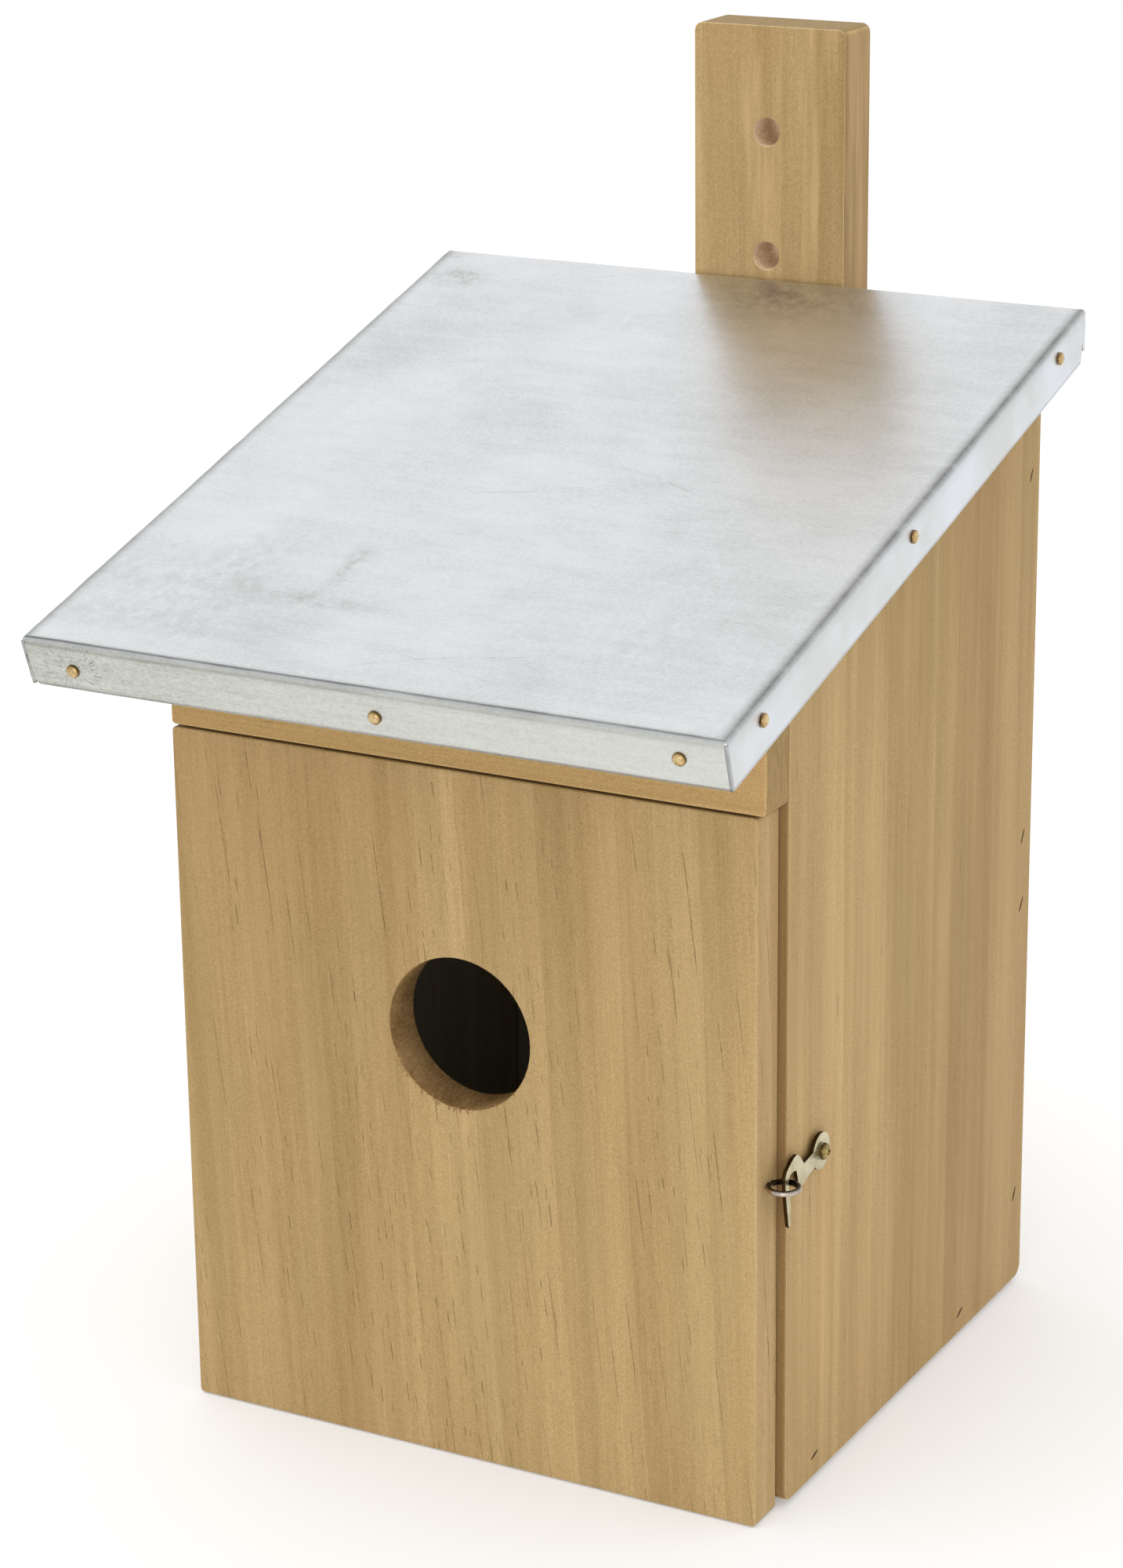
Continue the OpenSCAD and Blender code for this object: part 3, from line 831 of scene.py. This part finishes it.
def dent_sheet(vert, dark, pins):
    """Hand folding leaves the sheet a little uneven, and pins pull small dimples."""
    point = vert.co.copy()
    sway = noise.noise(point * 22) * 0.10 * MM + noise.noise(point * 60) * 0.05 * MM
    ripple = noise.noise(point * 260) * 0.07 * MM if dark > 0.3 else 0.0
    vert.co += vert.normal * (sway + ripple - SHEET_INSET)
    for spot, facing, _ in pins:
        gap = (point - spot).length
        if gap < 12 * MM:
            vert.co -= facing * (DIMPLE * math.exp(-((gap / DIMPLE_SPREAD) ** 2)))


def cap_mesh():
    work = bmesh.new()
    grid(work, [[on_roof(x, a, 0) for x in ACROSS] for a in ALONG])
    front_flange(work)
    rear_flange(work)
    for side in (-1, 1):
        side_flange(work, side)
        folded_corner(work, side, FOLD, -1, QUARTER)
        folded_corner(work, side, REAR_START, 1, REAR_BEND)
    tucked_tab(work)
    bmesh.ops.remove_doubles(work, verts=work.verts, dist=0.02 * MM)
    bmesh.ops.recalc_face_normals(work, faces=work.faces)
    flat = max(work.faces, key=lambda f: f.calc_area())
    if flat.normal.dot(INWARD) > 0:
        bmesh.ops.reverse_faces(work, faces=work.faces)
    layers = {n: work.verts.layers.float.new(n)
              for n in ("fold", "front", "right_flange_sheen", "smudge_and_reflection", "dent")}
    pins = pin_spots()
    work.normal_update()
    for vert in work.verts:
        # The painted shade, painted sheen, smudges and dents go into the sheet's attributes
        x, a, d = roof_place(vert.co)
        dark, front, right_flange_sheen = sheet_marks(x, a, d)
        vert[layers["fold"]] = max(0.0, min(1.0, dark))
        vert[layers["front"]] = front
        vert[layers["right_flange_sheen"]] = right_flange_sheen
        vert[layers["smudge_and_reflection"]] = smudge_and_reflection_at(x, a) if d < FOLD else 0.0
        if front > 0 and d > FOLD * 0.5:
            gap = (vert.co - struck_pin).length
            vert[layers["dent"]] = math.exp(-((gap / STRUCK_SPREAD) ** 4))
        dent_sheet(vert, dark, pins)
    mesh = mesh_from(work, "roof_cap")
    mesh.shade_smooth()
    return mesh


def pin_spots():
    """Places, facings and long directions of the pins through the cap's flanges."""
    spots = []
    for points in separate_solids("roof_cap_pins"):
        centre = sum(points, Vector()) / len(points)
        proud = max(abs(p.x) for p in points) - cap_half
        if abs(abs(centre.x) - cap_half) < 8 * MM and abs(proud - PIN_PROUD) < 0.1 * MM:
            facing = Vector((math.copysign(1, centre.x), 0, 0))
        else:
            facing = -UPHILL
        top = max(points, key=lambda p: p.dot(facing))
        spots.append((top - facing * PIN_PROUD, facing, UP))
    return spots


struck_pin = min((spot for spot, facing, _ in pin_spots() if abs(facing.x) < 0.5),
                 key=lambda spot: spot.x)
ZINC = galvanised("galvanised_sheet", struck_pin)
cap = add_object("roof_cap_open", cap_mesh())
thicken = cap.modifiers.new("thickness", "SOLIDIFY")
thicken.thickness = SHEET
thicken.offset = -1
thicken.use_even_offset = True
cap = baked(cap, "roof_cap_sheet")
cap.data.materials.clear()
cap.data.materials.append(ZINC)
finish_piece(cap, "box", "galvanised_sheet", "roof_cap")


# ---------- repeated parts by geometry nodes ----------

def circle(count):
    """Places round a circle of radius 1, as (cosine, sine)."""
    turns = [2 * math.pi * k / count for k in range(count)]
    return [(math.cos(turn), math.sin(turn)) for turn in turns]


def lathe(name, profile, segments=24):
    """A closed turned shape from (radius, height) pairs, first and last on the axis. The
    outer part of its face is marked for painted shade on the rim."""
    work = bmesh.new()
    rim_shade_layer = work.verts.layers.float.new("rim_shade")
    widest = max(radius for radius, _ in profile)
    rings = []
    for radius, height in profile:
        if radius == 0:
            rings.append([work.verts.new((0, 0, height))])
        else:
            rings.append([
                work.verts.new((radius * x, radius * y, height)) for x, y in circle(segments)
            ])
        for vert in rings[-1]:
            vert[rim_shade_layer] = max(0.0, (radius / widest - 0.7) / 0.3)
    for low, high in zip(rings, rings[1:]):
        for k in range(segments):
            corners = [low[k % len(low)], low[(k + 1) % len(low)],
                       high[(k + 1) % len(high)], high[k % len(high)]]
            work.faces.new(list(dict.fromkeys(corners)))
    bmesh.ops.recalc_face_normals(work, faces=work.faces)
    mesh = mesh_from(work, name)
    mesh.shade_smooth()
    return add_object(name, mesh)


def split_mark(name, length, width):
    """A brad in the short split it makes: a thin dark lens at z = 0, which stands for the brad's
    head and, as painted shade, for the shadowed split, with the brad's body below.
    """
    work = bmesh.new()
    outline = []
    for y, swing in circle(16):
        x = math.copysign((1 - y * y) ** 0.8, swing)
        outline.append(Vector((x * width / 2, y * length / 2, 0.03 * MM)))
    top = [work.verts.new(p) for p in outline]
    low = [work.verts.new(p * 0.7 - Vector((0, 0, 1.0 * MM))) for p in outline]
    work.faces.new(top)
    work.faces.new(list(reversed(low)))
    for i in range(len(top)):
        work.faces.new((top[i - 1], low[i - 1], low[i], top[i]))
    thick, wide, deep = 1.0 * MM, 1.2 * MM, 23 * MM
    for vert in bmesh.ops.create_cube(work, size=1)["verts"]:
        vert.co = Vector((vert.co.x * thick, vert.co.y * wide, (vert.co.z - 0.55) * deep))
    bmesh.ops.recalc_face_normals(work, faces=work.faces)
    return add_object(name, mesh_from(work, name))


def repeat_tree():
    """Puts a copy of Part on every point: its Z faces the point's way, its Y the length way."""
    tree = bpy.data.node_groups.new("repeat_part", "GeometryNodeTree")
    for title, kind in (("Geometry", "Geometry"), ("Part", "Object"), ("Size", "Float"),
                        ("Size Spread", "Float"), ("Seed", "Int"), ("Finish", "Material")):
        tree.interface.new_socket(title, in_out="INPUT", socket_type="NodeSocket" + kind)
    tree.interface.new_socket("Geometry", in_out="OUTPUT", socket_type="NodeSocketGeometry")

    def add(kind, inputs=None, **settings):
        return add_node(tree, kind, inputs, **settings).outputs

    def stored(name):
        return add("GeometryNodeInputNamedAttribute", {"Name": name}, data_type="FLOAT_VECTOR")[0]

    given = add("NodeGroupInput")
    part = add("GeometryNodeObjectInfo", {"Object": given["Part"]})
    facing = add("FunctionNodeAlignRotationToVector", {"Vector": stored("facing")}, axis="Z")
    turned = add(
        "FunctionNodeAlignRotationToVector",
        {"Rotation": facing[0], "Vector": stored("length_way")}, axis="Y", pivot_axis="Z",
    )
    chance = add("FunctionNodeRandomValue", {2: -1.0, 3: 1.0, "Seed": given["Seed"]},
                 data_type="FLOAT")
    size = add("ShaderNodeMath", {0: chance[1], 1: given["Size Spread"], 2: given["Size"]},
               operation="MULTIPLY_ADD")
    copies = add("GeometryNodeInstanceOnPoints", {
        "Points": given["Geometry"], "Instance": part["Geometry"], "Rotation": turned[0],
        "Scale": size[0]})
    real = add("GeometryNodeRealizeInstances", {"Geometry": copies["Instances"]})
    painted = add("GeometryNodeSetMaterial",
                  {"Geometry": real["Geometry"], "Material": given["Finish"]})
    add("NodeGroupOutput", {"Geometry": painted["Geometry"]})
    return tree


REPEAT = repeat_tree()


def repeat(name, part, spots, finish, body, slot, nodes=(), size=1.0, spread=0.0, seed=1):
    """Copies of part at the spots (place, facing, length way), as one plain mesh."""
    mesh = bpy.data.meshes.new(name + "_spots")
    mesh.from_pydata([tuple(place) for place, _, _ in spots], [], [])
    for column, title in ((1, "facing"), (2, "length_way")):
        layer = mesh.attributes.new(title, "FLOAT_VECTOR", "POINT")
        for value, spot in zip(layer.data, spots):
            value.vector = spot[column]
    piece = add_object(name + "_spots", mesh)
    copier = piece.modifiers.new("repeat", "NODES")
    copier.node_group = REPEAT
    given = {"Part": part, "Size": size, "Size Spread": spread, "Seed": seed, "Finish": finish}
    for item in REPEAT.interface.items_tree:
        if item.in_out == "INPUT" and item.name in given:
            copier[item.identifier] = given[item.name]
    piece.data.update()
    return finish_piece(baked(piece, name), body, slot, *nodes)


pin_head = lathe("pin_head", [
    (0, PIN_PROUD), (0.45 * MM, 0.66 * MM), (0.85 * MM, 0.54 * MM), (1.15 * MM, 0.34 * MM),
    (1.34 * MM, 0.14 * MM), (1.38 * MM, 0.02 * MM), (1.30 * MM, -0.08 * MM),
    (0.60 * MM, -0.10 * MM), (0.60 * MM, -6.0 * MM), (0, -7.0 * MM)])
PIN_SINK = 0.12 * MM
repeat("cap_pins", pin_head, [(p - f * PIN_SINK, f, way) for p, f, way in pin_spots()],
       BRASS, "box", "brass", ["roof_cap_pins"])

SPLIT_LENGTH = 3.7 * MM
SPLIT_WIDTH = 0.55 * MM
brad_mark = split_mark("brad_mark", SPLIT_LENGTH, SPLIT_WIDTH)


def brad_spots(node, ways):
    """A brad's head lies at the end of its solid that faces one of the given ways."""
    spots = []
    for low, high in solids_of(node):
        middle = (low + high) / 2
        way = max(ways, key=lambda w: middle.dot(w)) if len(ways) > 1 else ways[0]
        reach = high - middle
        head = middle + Vector([w * r for w, r in zip(way, reach)])
        spots.append((head, way))
    return spots


for node, ways, angles in (
    ("side_to_back_brads", (LEFT, RIGHT), (25, 32, 28, 24)),
    ("side_to_floor_brads", (LEFT, RIGHT), (74, 66)),
    ("back_to_floor_brads", (REAR,), (80, 65)), ("rail_brads", (FRONT,), (62, 70)),
):
    spots = []
    for i, (head, way) in enumerate(brad_spots(node, ways)):
        angle = math.radians(angles[i % len(angles)])
        flat = UP.cross(way)
        flat *= 1 if flat.y + flat.x > 0 else -1
        spots.append((head, way, flat * math.sin(angle) + UP * math.cos(angle)))
    repeat(node + "_made", brad_mark, spots, STEEL, "box", "steel", [node], 0.9, 0.15, 5)

NAIL_HEAD = 0.8 * MM
nail_head = lathe("nail_head", [
    (0, 0.78 * MM), (1.75 * MM, 0.76 * MM), (1.98 * MM, 0.60 * MM), (1.98 * MM, 0.10 * MM),
    (1.80 * MM, 0.0), (1.0 * MM, -0.02 * MM), (1.0 * MM, -8 * MM), (0, -9 * MM)])
spots = []
for low, high in solids_of("batten_nails"):
    middle = (low + high) / 2
    spots.append((Vector((middle.x, low.y + NAIL_HEAD, middle.z)), FRONT, UP))
repeat("batten_nails_made", nail_head, spots, STEEL, "box", "steel", ["batten_nails"])
for template in (pin_head, brad_mark, nail_head):
    drop_object(template)


# ---------- torn fibres under the entrance hole ----------

work = bmesh.new()
sliver = [work.verts.new(p) for p in (
    (-0.16 * MM, -0.3 * MM, 0), (0.16 * MM, -0.3 * MM, 0), (0.13 * MM, 0.35 * MM, 0.10 * MM),
    (0.02 * MM, 0.9 * MM, 0.05 * MM), (-0.12 * MM, 0.4 * MM, 0.12 * MM), (0, 0.2 * MM, -0.15 * MM))]
for a, b, c in ((0, 1, 2), (0, 2, 4), (4, 2, 3), (1, 0, 5), (2, 1, 5), (3, 2, 5), (4, 3, 5),
                (0, 4, 5)):
    work.faces.new((sliver[a], sliver[b], sliver[c]))
bmesh.ops.recalc_face_normals(work, faces=work.faces)
splinter = add_object("splinter", mesh_from(work, "splinter"))
SPLINTER_SEED = 12
SPLINTERS = 26
TORN_FROM, TORN_TO = 205, 322
chance = random.Random(SPLINTER_SEED)
spots = []
for _ in range(SPLINTERS):
    angle = math.radians(chance.uniform(TORN_FROM, TORN_TO))
    out_way = Vector((math.cos(angle), 0, math.sin(angle)))
    spots.append((
        Vector((entrance[0], door_low.y - 0.02 * MM, entrance[2]))
        + out_way * (entrance_radius + chance.uniform(-0.1, 0.25) * MM),
        FRONT, (out_way + Vector((chance.uniform(-0.6, 0.6), 0, -0.3))).normalized(),
    ))
repeat("hole_splinters", splinter, spots, BORE_WOOD, "door", "stained_pine", (), 0.8, 0.45, 3)
drop_object(splinter)


# ---------- fittings kept close to their solids ----------

def fitting(node, body, slot, finish, rounding, degrees=35, flat_side=None):
    """A CAD solid with softened edges. Faces not square to flat_side are marked for painted shade.
    """
    work = merged(node)
    rim_shade_layer = work.faces.layers.float.new("rim_shade")
    for face in work.faces:
        face.smooth = True
        if flat_side and abs(face.normal.dot(flat_side)) < 0.5:
            face[rim_shade_layer] = 1.0
    soften(work, sharp_edges(work, degrees), rounding, 2)
    for edge in work.edges:
        edge.smooth = not edge.is_manifold or edge.calc_face_angle(0) < math.radians(32)
    mesh = mesh_from(work, node)
    mesh.materials.append(finish)
    return finish_piece(add_object(node + "_made", mesh), body, slot, node)


def cross_head_screw():
    """The latch's round-head screw with a cross recess, its axis along X."""
    low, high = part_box("latch_screw")
    radius, height = (high.z - low.z) / 2, 1.3 * MM
    shank = 1.1 * MM
    slot_length, slot_width, slot_depth = 2.3 * MM, 0.42 * MM, 0.65 * MM
    dome = [(radius * math.sin(t), height * math.cos(t) - 0.02 * MM)
            for t in (QUARTER * k / 7 for k in range(1, 8))]
    head = lathe("latch_screw_head", [(0, height)] + dome + [
        (radius * 0.97, -0.06 * MM), (shank, -0.1 * MM),
        (shank, low.x - high.x + height + 1.5 * MM), (0, low.x - high.x + height)], 40)
    cutters = bmesh.new()
    for turn in (25, 115):
        for vert in bmesh.ops.create_cube(cutters, size=1)["verts"]:
            wide = 1.0 if vert.co.z > 0 else 0.35
            vert.co = Matrix.Rotation(math.radians(turn), 3, "Z") @ Vector((
                vert.co.x * slot_length * wide, vert.co.y * slot_width,
                (vert.co.z + 0.5) * 1.2 * MM + height - slot_depth))
    recess = add_object("recess", mesh_from(cutters, "recess"))
    cut = head.modifiers.new("recess", "BOOLEAN")
    cut.object = recess
    cut.solver = "EXACT"
    cut.use_self = True
    screw = baked(head, "latch_screw_made")
    drop_object(recess)
    screw.data.transform(Matrix.Translation((high.x - height, (low.y + high.y) / 2,
                                             (low.z + high.z) / 2))
                         @ Matrix.Rotation(QUARTER, 4, "Y"))
    screw.data.shade_smooth()
    screw.data.set_sharp_from_angle(angle=math.radians(40))
    screw.data.materials.clear()
    screw.data.materials.append(OLIVE_BRASS)
    return finish_piece(screw, "box", "brass", "latch_screw")


def bent_wire_eye():
    """The screw eye: one wire, from the shank round the ring and back to the neck."""
    low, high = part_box("screw_eye")
    wire = (high.z - low.z) / 2
    ring = (high.y - low.y) / 2 - wire
    centre = Vector((high.x - ring - wire, (low.y + high.y) / 2, (low.z + high.z) / 2))
    path = [Vector((low.x + 1.0 * MM, centre.y, centre.z)),
            Vector((centre.x - ring - 2.0 * MM, centre.y, centre.z)),
            Vector((centre.x - ring - 0.35 * MM, centre.y - 0.05 * MM, centre.z))]
    turns, ring_from, ring_to = 30, 207, 523
    for i in range(turns + 1):
        angle = math.radians(ring_from + (ring_to - ring_from) * i / turns)
        pull = 1 + 0.06 * max(0.0, -math.cos(angle)) ** 6
        path.append(centre + Vector((math.cos(angle) * ring * pull, math.sin(angle) * ring, 0)))
    work = bmesh.new()
    rim_shade_layer = work.verts.layers.float.new("rim_shade")
    rings = []
    sides = 14
    for i, point in enumerate(path):
        ahead = path[min(i + 1, len(path) - 1)] - path[max(i - 1, 0)]
        side = UP.cross(ahead).normalized()
        size = wire * (0.9 if i in (0, len(path) - 1) else 1.0)
        rings.append([
            work.verts.new(point + side * size * x + Vector((0, 0, size * y)))
            for x, y in circle(sides)
        ])
        # Painted shade: the wire is darker on its inner and upper side and keeps the bright metal on
        # its outer, lower side
        outward = (point - centre).normalized()
        for vert in rings[-1]:
            way = (vert.co - point).normalized()
            vert[rim_shade_layer] = max(0.0, min(1.0, 0.75 - 1.1 * way.dot(outward) + 0.7 * way.z))
    for first, second in zip(rings, rings[1:]):
        for k in range(sides):
            work.faces.new((first[k - 1], first[k], second[k], second[k - 1]))
    work.faces.new(list(reversed(rings[0])))
    work.faces.new(rings[-1])
    bmesh.ops.recalc_face_normals(work, faces=work.faces)
    mesh = mesh_from(work, "screw_eye_made")
    mesh.shade_smooth()
    mesh.materials.append(BRIGHT_STEEL)
    return finish_piece(add_object("screw_eye_made", mesh), "door", "bright_steel", "screw_eye")


LEAF_EDGE = 0.12 * MM
HINGE_PIN_EDGE = 0.08 * MM
HINGE_SCREW_EDGE = 0.05 * MM
HOOK_EDGE = 0.15 * MM
for place in ("upper", "lower"):
    fitting(place + "_hinge_fixed_leaf", "box", "brass", BRASS, LEAF_EDGE)
    fitting(place + "_hinge_door_leaf", "door", "brass", BRASS, LEAF_EDGE)
    fitting(place + "_hinge_pin", "box", "brass", BRASS, HINGE_PIN_EDGE)
fitting("hinge_fixed_screws", "box", "brass", BRASS, HINGE_SCREW_EDGE)
fitting("hinge_door_screws", "door", "brass", BRASS, HINGE_SCREW_EDGE)
fitting("latch_hook", "latch_hook", "pale_brass", PALE_BRASS, HOOK_EDGE, flat_side=RIGHT)
cross_head_screw()
bent_wire_eye()
frame["nodes"]["roof_nails"].data.materials.clear()
frame["nodes"]["roof_nails"].data.materials.append(STEEL)


# ---------- studio ----------

FLOOR_REACH = 6.0
FLOOR_TONE = 0.72
FLOOR_GLOW = 0.25
AIM = Vector((0, 0, 0.13))
# Each light: name, place, side of its square in metres, watts
LIGHTS = (("top_light", (-0.3, -0.4, 1.8), 1.6, 8.0), ("front_light", (0.9, -1.7, 0.45), 1.4, 8.6))
SENSOR = 36
LENS = 94.115
CAMERA_PLACE = Vector((0.38124, -0.70833, 0.3953))
CAMERA_RIGHT = Vector((0.878822, 0.477007, -0.011648))
CAMERA_UP = Vector((-0.139622, 0.280424, 0.949667))


def studio_floor():
    floor = bpy.data.meshes.new("studio_floor")
    floor.from_pydata([
        (-FLOOR_REACH, -FLOOR_REACH, 0), (FLOOR_REACH, -FLOOR_REACH, 0),
        (FLOOR_REACH, FLOOR_REACH, 0), (-FLOOR_REACH, FLOOR_REACH, 0)], [], [(0, 1, 2, 3)])
    floor_object = add_object("studio_floor", floor)
    paint = Shader("studio_paint")
    paint.set(Base_Color=(FLOOR_TONE, FLOOR_TONE, FLOOR_TONE, 1), Roughness=0.9,
              Emission_Color=(1, 1, 1, 1), Emission_Strength=FLOOR_GLOW, Specular_IOR_Level=0.0)
    floor.materials.append(paint.material)


def studio_light():
    world = bpy.data.worlds.new("studio_sky")
    scene.world = world
    world.use_nodes = True
    sky = world.node_tree.nodes["Background"]
    sky.inputs["Color"].default_value = (1.0, 1.0, 1.0, 1)
    sky.inputs["Strength"].default_value = 1.0
    for name, spot, size, power in LIGHTS:
        lamp = bpy.data.lights.new(name, "AREA")
        lamp.shape = "SQUARE"
        lamp.size = size
        lamp.energy = power
        holder = add_object(name, lamp)
        holder.location = spot
        # The light overhead stays out of the sheet's mirror image
        holder.visible_glossy = name != "top_light"
        holder.rotation_euler = (AIM - Vector(spot)).to_track_quat("-Z", "Y").to_euler()


def camera():
    data = bpy.data.cameras.new("camera")
    data.sensor_width = SENSOR
    data.lens = LENS
    data.clip_start = 0.01
    holder = add_object("camera", data)
    back = CAMERA_RIGHT.cross(CAMERA_UP)
    turn = Matrix((CAMERA_RIGHT, CAMERA_UP, back)).transposed()
    holder.matrix_world = Matrix.Translation(CAMERA_PLACE) @ turn.to_4x4()
    scene.camera = holder


studio_floor()
studio_light()
camera()
